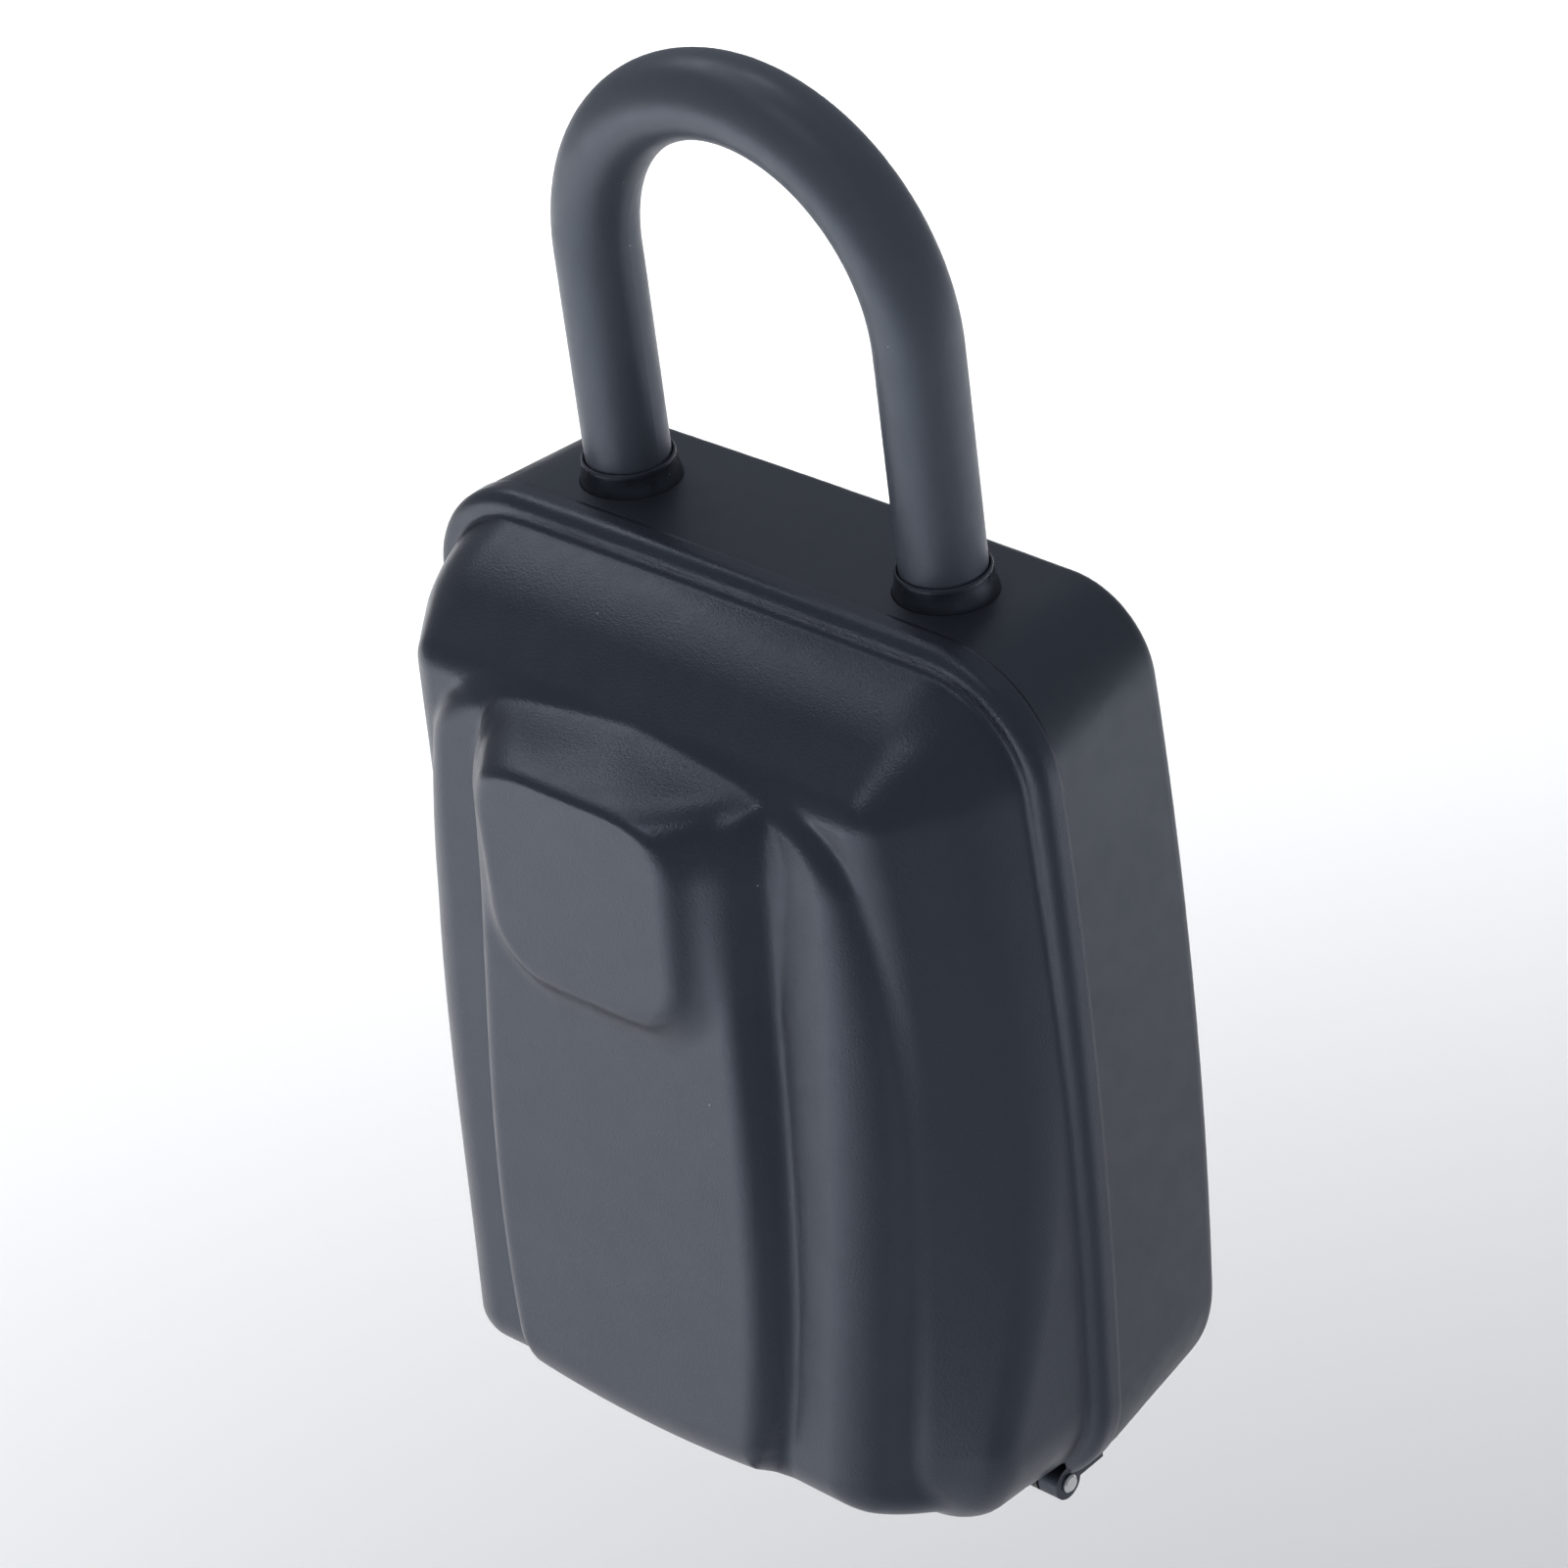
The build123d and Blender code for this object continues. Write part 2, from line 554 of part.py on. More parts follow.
def weather_cover():
    """Moulded rubber shell whose lip wraps the case's rim and whose knuckle rides the pin."""
    lip = slab(body_outline(GAP_Y - 0.2, 0.0), GAP_Y - 0.2 - CREASE_Y)
    lip = fillet(lip.faces().sort_by(Axis.Y)[0].edges(), 1.1)
    lip -= slab(body_outline(GAP_Y + 1, LIP_INSET), GAP_Y + 1 - CREASE_Y - LIP_FRONT)
    cover = lip + cover_mass(0) - cover_mass(COVER_WALL)
    for low, high in ((COVER_KNUCKLE, 42.5), (-42.5, -COVER_KNUCKLE)):
        cover -= box((low, -13.9, -165), (high, -8, -151.4))
        cover -= rod_x(KNUCKLE_R + 0.45, low, high, PIN_Y, PIN_Z)
    cover += rod_x(KNUCKLE_R, -COVER_KNUCKLE, COVER_KNUCKLE, PIN_Y, PIN_Z)
    return cover - rod_x(PIN_R + RUN, -PIN_BORE_HALF, PIN_BORE_HALF, PIN_Y, PIN_Z)


PARTS = {
    "rear_case": rear_case,
    "shackle_rod": shackle_rod,
    "shackle_sleeve": shackle_sleeve,
    "shackle_collar_left": lambda: shackle_collar(-LEG_X),
    "shackle_collar_right": lambda: shackle_collar(LEG_X),
    "shackle_lock_slide": shackle_lock_slide,
    "lock_cover_plate": lock_cover_plate,
    "lock_plate_screws": lock_plate_screws,
    "latch_keeper": latch_keeper,
    "keeper_screws": keeper_screws,
    "hinge_pin": hinge_pin,
    "front_door": front_door,
    "door_seal": door_seal,
    "mechanism_back_plate": mechanism_back_plate,
    "plate_screws": plate_screws,
    "latch_plate": latch_plate,
    "open_button": open_button,
    "latch_spring": latch_spring,
    "dial_shaft": dial_shaft,
    "code_change_lever": code_change_lever,
    "dial_detent_spring": dial_detent_spring,
    "weather_cover": weather_cover,
}
for number in range(DIAL_COUNT):
    PARTS[f"dial_wheel_{number + 1}"] = lambda number=number: dial_wheel(number)
    PARTS[f"cam_sleeve_{number + 1}"] = lambda number=number: cam_sleeve(number)

os.makedirs("parts", exist_ok=True)
for name, make in PARTS.items():
    export_step(make(), f"parts/{name}.step")
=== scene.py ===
"""Looks of the shackle key lock box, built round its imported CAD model.

Everything is in the CAD's own frame: the origin is the centre of the shackle's bend, +Z is
up and -Y is the front. Lengths are in millimetres until a mesh is made, and then in metres.
"""

import json
import math

import bmesh
import bpy
import numpy as np
from mathutils import Matrix, Vector


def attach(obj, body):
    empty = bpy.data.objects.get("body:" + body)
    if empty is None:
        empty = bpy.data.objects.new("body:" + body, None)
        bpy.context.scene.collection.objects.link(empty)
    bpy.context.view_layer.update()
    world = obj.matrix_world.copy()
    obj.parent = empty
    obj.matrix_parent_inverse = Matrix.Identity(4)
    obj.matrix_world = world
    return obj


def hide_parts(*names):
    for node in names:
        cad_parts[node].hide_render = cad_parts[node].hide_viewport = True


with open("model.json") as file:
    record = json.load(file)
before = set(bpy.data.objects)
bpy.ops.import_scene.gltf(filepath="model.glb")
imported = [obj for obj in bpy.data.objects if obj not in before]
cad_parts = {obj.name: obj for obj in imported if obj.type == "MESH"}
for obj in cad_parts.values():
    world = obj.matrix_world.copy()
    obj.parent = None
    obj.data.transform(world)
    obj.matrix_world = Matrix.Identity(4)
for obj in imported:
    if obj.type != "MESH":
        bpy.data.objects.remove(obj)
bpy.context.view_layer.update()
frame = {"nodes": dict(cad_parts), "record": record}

MM = 0.001

# ---- weather cover: its outer form, in millimetres ---------------------------------
MOUTH_Y = -9.3                     # rear edge of the lip
MOUTH_TOP = -32.0                  # height of the lip's top corners
MOUTH_BOTTOM = -159.0
MOUTH_HALF_BOTTOM = 48.3           # half width that the lip's sides run down to
MOUTH_WIDENING = 1.5               # how much wider its top is
MOUTH_BULGE = 10.0                 # how strongly its sides bow out between the two
MOUTH_R_TOP = 15.2
MOUTH_R_BOTTOM = 19.0
CREASE_Y = -13.2                   # front face of the lip
LIP_ROLL = 1.9
LIP_WIDTH = 2.1                    # from the lip's outline in to the foot of the dome
WALL = 2.0
SHOULDER = 9.0                     # width of the sloping shoulder round the front, seen head on
SHOULDER_INSET = 0.9               # from the dome's foot in to the shoulder's outer edge
SIDE_LEAN = 0.05                   # how far the dome's side leans in per millimetre forwards

BOTTOM_Y = -44.0                   # the bottom slope meets this depth at the heights below
BOTTOM_NORMAL = (-0.581, -0.814)   # in Y and Z
SLOPE_Z = -142.9                   # of the side strips' ends
LOBE_Z = -145.2                    # of the dome's lower corners
UNDER_Z = -143.9                   # of the centre panel's end
UNDER_CROWN = 0.0034               # times x squared: its middle hangs lower than its sides

SHELF_Z = -44.3                    # top of the centre panel and the hood, at SHELF_Y
SHELF_Y = -28.5
SHELF_SLOPE = 0.364
SHELF_CROWN = 0.0035               # times x squared: its middle stands above its sides
HOOD_SLOPE = 0.222
HOOD_FALL = 0.174                  # the hood falls away to its sides, from HOOD_FLAT outwards
HOOD_FLAT = 3.0
PANEL_FRONT = (-33.7, 0.095)       # depth at height zero, and its change per millimetre up
STRIP_FRONT = (-27.3, 0.11)
BOSS_FRONT = (-41.4, 0.033)
STRIP_TOP = -46.9
STRIP_CENTRE_X = 35.0
STRIP_FALL = 0.03                  # the strip's front falls away to its outer side
WALL_DRAFT = 22                    # degrees, of the panel's and the strips' sides
BOSS_DRAFT = 38
BOSS_HALF = 15.6                   # half width at BOSS_CENTRE_Z
BOSS_WIDENING = 0.03
BOSS_CENTRE_Z = -62.0
BOSS_TOP, BOSS_BOTTOM = -45.3, -77.5
BELOW_ALL = -190.0                 # lower than any part of the cover

# radii: of outlines seen head on, of rounded edges, and of the valleys between the forms
STRIP_R_TOP, STRIP_R_BOTTOM = 10.0, 9.0
BOSS_R_TOP, BOSS_R_BOTTOM = 10.5, 8.0
FRONT_ROLL = 2.2
LOBE_ROLL = 7.0
STRIP_END_ROLL = 9.0
STRIP_FOOT_ROLL = 3.5
SHELF_ROLL = 6.0
PANEL_ROLL = 1.8
PANEL_END_ROLL = 4.0
HOOD_ROLL = 2.0
HOOD_EDGE_ROLL = 3.0
BOSS_ROLL = 1.0
VALLEY = 0.9
LIP_VALLEY = 0.6


def curve_through(heights, values):
    """Smooth function of height that passes near the given values."""
    fit = np.polyfit(heights, values, 3)
    low, high = min(heights), max(heights)
    return lambda z: np.polyval(fit, np.clip(z, low, high))


STRIP_HALF = curve_through(
    (-49, -57, -65, -76, -90, -105, -124, -141),
    (32.5, 34.6, 35.6, 36.1, 36.0, 36.0, 35.2, 33.8),
)
PANEL_HALF = curve_through(
    (-46, -69, -84, -101, -120, -139),
    (20.8, 21.0, 22.2, 22.8, 22.2, 20.4),
)
EDGE_Y = curve_through(            # depth where the side turns into the shoulder
    (-44, -66, -77, -92, -107, -118, -129, -138),
    (-17, -17.4, -17.7, -18.5, -20.5, -23, -26, -29),
)
FOOT_Y = curve_through(            # depth where the shoulder reaches the front
    (-44, -57, -76, -95, -118, -138),
    (-28.5, -29.6, -29.8, -30.4, -33, -35),
)
FRONT_Y = curve_through(           # depth of the front between shoulder and strip
    (-44, -52, -60, -76, -95, -118, -138),
    (-31.0, -30.8, -30.5, -30.5, -31.2, -33.7, -35.7),
)


def rounded_and(a, b, radius):
    """Distance to what two forms share, with the edge between them rounded."""
    corner = np.hypot(np.maximum(a + radius, 0), np.maximum(b + radius, 0))
    return np.minimum(np.maximum(a, b), -radius) + corner


def rounded_or(a, b, radius):
    """Distance to two forms together, with the inner corner between them filled."""
    corner = np.hypot(np.maximum(radius - a, 0), np.maximum(radius - b, 0))
    return np.maximum(np.minimum(a, b), radius) - corner


def keystone(x, z, half, top, bottom, r_top, r_bottom):
    """Distance, in the XZ plane, to a rounded outline whose half width may vary with z."""
    radius = np.where(z > (top + bottom) / 2, r_top, r_bottom)
    beside = np.abs(x) - half + radius
    above = np.abs(z - (top + bottom) / 2) - (top - bottom) / 2 + radius
    outside = np.hypot(np.maximum(beside, 0), np.maximum(above, 0))
    return outside + np.minimum(np.maximum(beside, above), 0) - radius


def mouth_half(z):
    """Half width of the lip's outline."""
    share = np.clip((z - MOUTH_BOTTOM) / (MOUTH_TOP - MOUTH_BOTTOM), 0, 1)
    return MOUTH_HALF_BOTTOM + MOUTH_WIDENING * share + MOUTH_BULGE * share * (1 - share)


def mouth_outline(x, z, inset):
    """Distance to the lip's outline, moved inwards by inset."""
    top = MOUTH_TOP - inset + 0.5 * (1 - (x / 50.0) ** 2)
    r_top = MOUTH_R_TOP - 0.5 * inset
    r_bottom = MOUTH_R_BOTTOM - 0.5 * inset
    return keystone(x, z, mouth_half(z) - inset, top, MOUTH_BOTTOM + inset, r_top, r_bottom)


def drafted(outline, depth, angle):
    """Distance to a side wall that leans out by angle, in degrees, going back from its face."""
    lean = math.radians(angle)
    return outline * math.cos(lean) - depth * math.sin(lean)


def ramp(z, start, end):
    """Share between 0 at the height start and 1 at the height end."""
    return np.clip((z - start) / (end - start), 0, 1)


def bottom_slope(y, z, height):
    """Distance to the plane that cuts the cover's front away towards its bottom."""
    return BOTTOM_NORMAL[0] * (y - BOTTOM_Y) + BOTTOM_NORMAL[1] * (z - height)


def front_at(z, front):
    """Depth of a flat front at a height."""
    at_zero, change = front
    return at_zero + change * z


def dome_distance(y, z, ring, side):
    """Distance to the cover's main body: side, sloping shoulder and front."""
    edge_y = EDGE_Y(z)
    rise = edge_y - FOOT_Y(z)
    shoulder = (ring + SHOULDER_INSET) * rise - (y - edge_y) * SHOULDER
    shoulder = shoulder / np.hypot(rise, SHOULDER)
    shoulder = rounded_and(shoulder, FRONT_Y(z) - y, FRONT_ROLL)
    bend = 2.2 + 3.4 * ramp(z, -95.0, -35.0)
    dome = rounded_and(side, shoulder, bend)
    return rounded_and(dome, bottom_slope(y, z, LOBE_Z), LOBE_ROLL)


def strip_distance(x, y, z, side):
    """Distance to the raised strips on both sides of the centre panel."""
    below = rounded_and(bottom_slope(y, z, SLOPE_Z), side, STRIP_END_ROLL)
    front = front_at(z, STRIP_FRONT) - STRIP_FALL * (np.abs(x) - STRIP_CENTRE_X)
    wall = keystone(x, z, STRIP_HALF(z), STRIP_TOP, BELOW_ALL, STRIP_R_TOP, STRIP_R_BOTTOM)
    wall = drafted(wall, y - front, WALL_DRAFT)
    roll = 2.2 + 2.3 * ramp(z, -50.0, -80.0)
    return rounded_and(rounded_and(wall, front - y, roll), below, STRIP_FOOT_ROLL)


def panel_distance(x, y, z, side):
    """Distance to the centre panel, with its sloping shelf at the top."""
    front = front_at(z, PANEL_FRONT)
    wall = drafted(np.abs(x) - PANEL_HALF(z), y - front, WALL_DRAFT)
    shelf = 0.94 * (z - SHELF_Z + SHELF_CROWN * x ** 2 - SHELF_SLOPE * (y - SHELF_Y))
    panel = rounded_and(wall, rounded_and(front - y, shelf, SHELF_ROLL), PANEL_ROLL)
    under = bottom_slope(y, z - UNDER_CROWN * x ** 2, UNDER_Z)
    return rounded_and(panel, rounded_and(under, side, PANEL_END_ROLL), PANEL_END_ROLL)


def boss_distance(x, y, z):
    """Distance to the boss over the dials, with the hood above it."""
    front = front_at(z, BOSS_FRONT)
    hood = 0.976 * (z - SHELF_Z - HOOD_SLOPE * (y - SHELF_Y))
    flank = HOOD_FALL * (np.abs(x) - HOOD_FLAT) + 0.985 * (z - SHELF_Z)
    hood = rounded_and(hood, flank, HOOD_ROLL)
    half = BOSS_HALF + BOSS_WIDENING * (z - BOSS_CENTRE_Z)
    wall = keystone(x, z, half, BOSS_TOP, BOSS_BOTTOM, BOSS_R_TOP, BOSS_R_BOTTOM)
    wall = drafted(wall, y - front, BOSS_DRAFT)
    return rounded_and(rounded_and(wall, hood, HOOD_EDGE_ROLL), front - y, BOSS_ROLL)


def cover_distance(x, y, z):
    """Distance to the cover's outer form, less than zero inside it."""
    lip = rounded_and(mouth_outline(x, z, 0), CREASE_Y - y, LIP_ROLL)
    ring = mouth_outline(x, z, LIP_WIDTH)
    side = ring + SIDE_LEAN * (CREASE_Y - y)
    dome = dome_distance(y, z, ring, side)
    body = rounded_or(dome, strip_distance(x, y, z, side), VALLEY)
    body = rounded_or(body, panel_distance(x, y, z, side), VALLEY)
    boss_valley = 0.8 + 1.7 * ramp(z, -46.0, -56.0)
    body = rounded_or(body, boss_distance(x, y, z), boss_valley)
    return rounded_or(body, lip, LIP_VALLEY)


# ---- weather cover: its shell, from rays that meet the form ------------------------
MOUTH_CENTRE_Z = -95.5
RING_SAMPLES = 4096
RING_STEPS, RING_STRIDE = 80, 0.6  # stride: share of the distance taken at each step
MARCH_STEPS, MARCH_STRIDE = 90, 0.75
FAN_SAMPLES = 2000
FAN_INSET = 14.0                   # where the fan of rays starts, in from the lip's outline
FAN_Y = -2.0
FAN_Z = -95.0                      # height at which the fan's angles are chosen
SPINE = (-122.0, -66.0)            # the front's rows close on this upright line at X = 0


def evenly(along, count, values, endpoint=True):
    """Values at evenly spaced places on a line; along is how far down it each one is known."""
    wanted = np.linspace(0, along[-1], count, endpoint=endpoint)
    return np.interp(wanted, along, values)


def mouth_ring(count):
    """Points evenly spaced round the lip's outline, and their outward normals."""
    angle = np.linspace(0, 2 * math.pi, RING_SAMPLES, endpoint=False)
    out_x, out_z = np.sin(angle), np.cos(angle)
    reach = np.full_like(angle, 40.0)
    for _ in range(RING_STEPS):
        gap = mouth_outline(out_x * reach, MOUTH_CENTRE_Z + out_z * reach, 0)
        reach -= RING_STRIDE * gap
    x, z = out_x * reach, MOUTH_CENTRE_Z + out_z * reach
    step = np.hypot(np.roll(x, -1) - x, np.roll(z, -1) - z)
    along = np.concatenate(([0], np.cumsum(step)))
    x = evenly(along, count, np.append(x, x[0]), endpoint=False)
    z = evenly(along, count, np.append(z, z[0]), endpoint=False)
    run_x = np.roll(x, -1) - np.roll(x, 1)
    run_z = np.roll(z, -1) - np.roll(z, 1)
    size = np.hypot(run_x, run_z)
    return x, z, -run_z / size, run_x / size


def fan_angles(rows):
    """Angles from outwards to forwards that space the rays' ends evenly down the side."""
    first = math.atan2(FAN_Y - MOUTH_Y, FAN_INSET)
    angle = np.linspace(first, math.pi / 2, FAN_SAMPLES)
    place = (mouth_half(FAN_Z) - FAN_INSET, FAN_Y, FAN_Z)
    start = np.zeros((FAN_SAMPLES, 1, 3)) + place
    ray = np.stack((np.cos(angle), -np.sin(angle), np.zeros(FAN_SAMPLES)), -1)[:, None]
    ends = march(start, ray, 0.0)[:, 0]
    step = np.linalg.norm(np.diff(ends, axis=0), axis=1)
    along = np.concatenate(([0], np.cumsum(step)))
    return evenly(along, rows, angle)


def cover_rays(columns, fan_rows, front_rows):
    """Starts and directions of rays that fan out from inside the cover, row by row."""
    x, z, out_x, out_z = mouth_ring(columns)
    angle = fan_angles(fan_rows)[:, None]
    fan_x = x - FAN_INSET * out_x
    fan_z = z - FAN_INSET * out_z
    share = np.linspace(0, 1, front_rows + 1)[1:, None] ** 1.15
    share = np.concatenate((np.zeros((fan_rows, 1)), share))
    row_x = fan_x * (1 - share)
    row_z = fan_z + (np.clip(fan_z, *SPINE) - fan_z) * share
    starts = np.stack((row_x, np.full_like(row_x, FAN_Y), row_z), -1)
    angle = np.concatenate((angle, np.full((front_rows, 1), math.pi / 2)))
    forward = np.broadcast_to(-np.sin(angle), row_x.shape)
    directions = np.stack((np.cos(angle) * out_x, forward, np.cos(angle) * out_z), -1)
    return starts, directions


def march(starts, directions, level):
    """Points where rays from inside the cover reach the given distance to its surface."""
    reach = np.zeros(starts.shape[:2] + (1,))
    for _ in range(MARCH_STEPS):
        at = starts + directions * reach
        gap = cover_distance(at[..., 0], at[..., 1], at[..., 2]) - level
        reach -= MARCH_STRIDE * gap[..., None]
    return starts + directions * reach


def cover_shell(columns, fan_rows, front_rows, inner_rows):
    """Points and faces of the closed shell: outer form, mouth edge and inner form."""
    starts, directions = cover_rays(columns, fan_rows, front_rows)
    outer = march(starts, directions, 0.0)
    kept = np.linspace(0, len(starts) - 1, inner_rows).round().astype(int)
    inner = march(starts[kept], directions[kept], -WALL)
    inner[0, :, 1] = MOUTH_Y
    points = np.concatenate((outer, inner[::-1])).reshape(-1, 3)
    rows = len(outer) + inner_rows
    faces = []
    for row in range(rows):
        if row == len(outer) - 1:  # the outer and inner forms do not join at the front
            continue
        here = row * columns + np.arange(columns)
        after = (row + 1) % rows * columns + np.arange(columns)
        faces.append(np.stack((here, after, np.roll(after, -1), np.roll(here, -1)), -1))
    return points, np.concatenate(faces)


# ---- mesh helpers ------------------------------------------------------------------
def new_object(name, mesh):
    """Object in the scene for a mesh whose points are already in the shared frame."""
    thing = bpy.data.objects.new(name, mesh)
    bpy.context.scene.collection.objects.link(thing)
    return thing


def mesh_from(name, points, faces, merge=0.0):
    """Mesh in metres from points in millimetres, smooth, with its normals outwards."""
    mesh = bpy.data.meshes.new(name)
    places = [tuple(point) for point in np.asarray(points) * MM]
    mesh.from_pydata(places, [], [tuple(face) for face in faces])
    shape = bmesh.new()
    shape.from_mesh(mesh)
    if merge:
        bmesh.ops.remove_doubles(shape, verts=shape.verts, dist=merge * MM)
    bmesh.ops.dissolve_degenerate(shape, edges=shape.edges, dist=1e-7)
    bmesh.ops.recalc_face_normals(shape, faces=shape.faces)
    shape.to_mesh(mesh)
    shape.free()
    mesh.shade_smooth()
    return mesh


def lathe_x(name, profile, y, z, steps=64):
    """Closed body of revolution about the line along X at y, z, from (x, radius) pairs."""
    angle = np.linspace(0, 2 * math.pi, steps, endpoint=False)
    rings = [
        np.stack((np.full(steps, x), y + r * np.cos(angle), z + r * np.sin(angle)), -1)
        for x, r in profile
    ]
    points = np.concatenate(rings)
    faces = []
    for ring in range(len(profile) - 1):
        here = ring * steps + np.arange(steps)
        beside = np.roll(here, -1)
        faces += np.stack((here, beside, beside + steps, here + steps), -1).tolist()
    faces.append(list(range(steps)))
    faces.append(list(range(len(points) - steps, len(points))))
    return new_object(name, mesh_from(name, points, faces))


def lathe_z(name, profile, x, y, steps=96):
    """Ring about the upright line at x, y, from a closed loop of (radius, z) pairs."""
    angle = np.linspace(0, 2 * math.pi, steps, endpoint=False)
    rings = [
        np.stack((x + r * np.cos(angle), y + r * np.sin(angle), np.full(steps, z)), -1)
        for r, z in profile
    ]
    faces = []
    for ring in range(len(profile)):
        here = ring * steps + np.arange(steps)
        after = (ring + 1) % len(profile) * steps + np.arange(steps)
        faces += np.stack((here, np.roll(here, -1), np.roll(after, -1), after), -1).tolist()
    return new_object(name, mesh_from(name, np.concatenate(rings), faces))


def block(name, low, high):
    """Plain box, used only as a cutter."""
    shape = bmesh.new()
    bmesh.ops.create_cube(shape, size=1.0)
    size = Vector(high) - Vector(low)
    middle = (Vector(low) + Vector(high)) / 2
    for vert in shape.verts:
        vert.co = middle + Vector(a * b for a, b in zip(vert.co, size))
        vert.co *= MM
    mesh = bpy.data.meshes.new(name)
    shape.to_mesh(mesh)
    shape.free()
    return new_object(name, mesh)


def combine(thing, tool, operation):
    """Exact boolean of two objects; the tool is used up."""
    step = thing.modifiers.new(operation, "BOOLEAN")
    step.operation = operation
    step.object = tool
    step.solver = "EXACT"
    graph = bpy.context.evaluated_depsgraph_get()
    result = bpy.data.meshes.new_from_object(thing.evaluated_get(graph))
    thing.modifiers.clear()
    thing.data = result
    bpy.data.objects.remove(tool)


# ---- materials ---------------------------------------------------------------------
SHEEN = (0.71, 0.8, 1.0, 1)        # colour and strength of the dark materials' reflections
SHEEN_LEVEL = 0.85


class Finish:
    """A node material under construction: a Principled shader and what feeds it."""

    def __init__(self, name, color, roughness, metallic=0.0):
        self.material = bpy.data.materials.new(name)
        self.material.use_nodes = True
        self.nodes = self.material.node_tree.nodes
        self.links = self.material.node_tree.links
        self.shader = self.nodes["Principled BSDF"]
        self.shader.inputs["Base Color"].default_value = (*color, 1)
        self.shader.inputs["Roughness"].default_value = roughness
        self.shader.inputs["Metallic"].default_value = metallic
        self.place = self.nodes.new("ShaderNodeTexCoord").outputs["Object"]
        self.height = None

    def sheen(self):
        """Give it the strong cool sheen of the dark rubber, paint and vinyl."""
        self.shader.inputs["Specular IOR Level"].default_value = SHEEN_LEVEL
        self.shader.inputs["Specular Tint"].default_value = SHEEN

    def stretched(self, scale):
        """The place on the object, stretched along each axis."""
        mapping = self.nodes.new("ShaderNodeMapping")
        mapping.inputs["Scale"].default_value = scale
        self.links.new(self.place, mapping.inputs["Vector"])
        return mapping.outputs["Vector"]

    def noise(self, size, detail=2.0, place=None):
        """Noise whose lumps are about size millimetres across."""
        texture = self.nodes.new("ShaderNodeTexNoise")
        texture.inputs["Scale"].default_value = 1.0 / (size * MM)
        texture.inputs["Detail"].default_value = detail
        self.links.new(place or self.place, texture.inputs["Vector"])
        return texture.outputs["Fac"]

    def spread(self, value, low_in, high_in, low, high):
        """Map a value's range onto another, clamped."""
        mapped = self.nodes.new("ShaderNodeMapRange")
        sockets = ("From Min", "From Max", "To Min", "To Max")
        for socket, number in zip(sockets, (low_in, high_in, low, high)):
            mapped.inputs[socket].default_value = number
        self.links.new(value, mapped.inputs["Value"])
        return mapped.outputs["Result"]

    def tint(self, share, color):
        """Blend the base colour towards another by a share between 0 and 1."""
        mix = self.nodes.new("ShaderNodeMix")
        mix.data_type = "RGBA"
        socket = self.shader.inputs["Base Color"]
        if socket.is_linked:
            self.links.new(socket.links[0].from_socket, mix.inputs["A"])
        else:
            mix.inputs["A"].default_value = socket.default_value
        mix.inputs["B"].default_value = (*color, 1)
        self.links.new(share, mix.inputs["Factor"])
        self.links.new(mix.outputs["Result"], socket)

    def vary_roughness(self, value, low, high):
        """Let a noise value move the roughness between two limits."""
        spread = self.spread(value, 0.3, 0.7, low, high)
        self.links.new(spread, self.shader.inputs["Roughness"])

    def bump(self, value, depth, strength=1.0):
        """Raise the surface by a value times depth, in millimetres, over earlier bumps."""
        node = self.nodes.new("ShaderNodeBump")
        node.inputs["Strength"].default_value = strength
        node.inputs["Distance"].default_value = depth * MM
        self.links.new(value, node.inputs["Height"])
        if self.height is not None:
            self.links.new(self.height, node.inputs["Normal"])
        self.height = node.outputs["Normal"]
        self.links.new(self.height, self.shader.inputs["Normal"])

    def dust(self, spacing, size, share, color=(0.5, 0.5, 0.48)):
        """A few pale specks, size millimetres across, in a share of cells of that spacing."""
        cells = self.nodes.new("ShaderNodeTexVoronoi")
        cells.inputs["Scale"].default_value = 1.0 / (spacing * MM)
        self.links.new(self.place, cells.inputs["Vector"])
        reach = size / spacing
        near = self.spread(cells.outputs["Distance"], 0.35 * reach, 0.5 * reach, 1, 0)
        pick = self.nodes.new("ShaderNodeSeparateColor")
        self.links.new(cells.outputs["Color"], pick.inputs["Color"])
        chosen = self.spread(pick.outputs["Red"], 1 - share, 1 - share + 0.01, 0, 1)
        both = self.nodes.new("ShaderNodeMath")
        both.operation = "MULTIPLY"
        self.links.new(near, both.inputs[0])
        self.links.new(chosen, both.inputs[1])
        self.tint(both.outputs[0], color)


def moulded_rubber():
    """Fine-grained matte rubber of the weather cover."""
    finish = Finish("moulded_rubber", (0.025, 0.0275, 0.037), 0.32)
    finish.sheen()
    finish.tint(finish.spread(finish.noise(9, 3), 0.35, 0.65, 0, 0.3), (0.034, 0.039, 0.05))
    finish.vary_roughness(finish.noise(3.5, 3), 0.29, 0.35)
    finish.bump(finish.noise(0.36, 1.0), 0.046, 0.8)
    finish.bump(finish.noise(0.2, 1.0), 0.03, 0.8)
    finish.dust(6.0, 0.24, 0.2)
    return finish.material


def case_coat():
    """Fine powder coat on the cast case."""
    finish = Finish("case_coat", (0.025, 0.029, 0.036), 0.4)
    finish.tint(finish.spread(finish.noise(12, 3), 0.35, 0.65, 0, 0.3), (0.032, 0.036, 0.045))
    finish.sheen()
    finish.vary_roughness(finish.noise(4, 3), 0.38, 0.46)
    finish.bump(finish.noise(0.35, 2.0), 0.02, 0.4)
    finish.dust(7.0, 0.2, 0.2)
    return finish.material


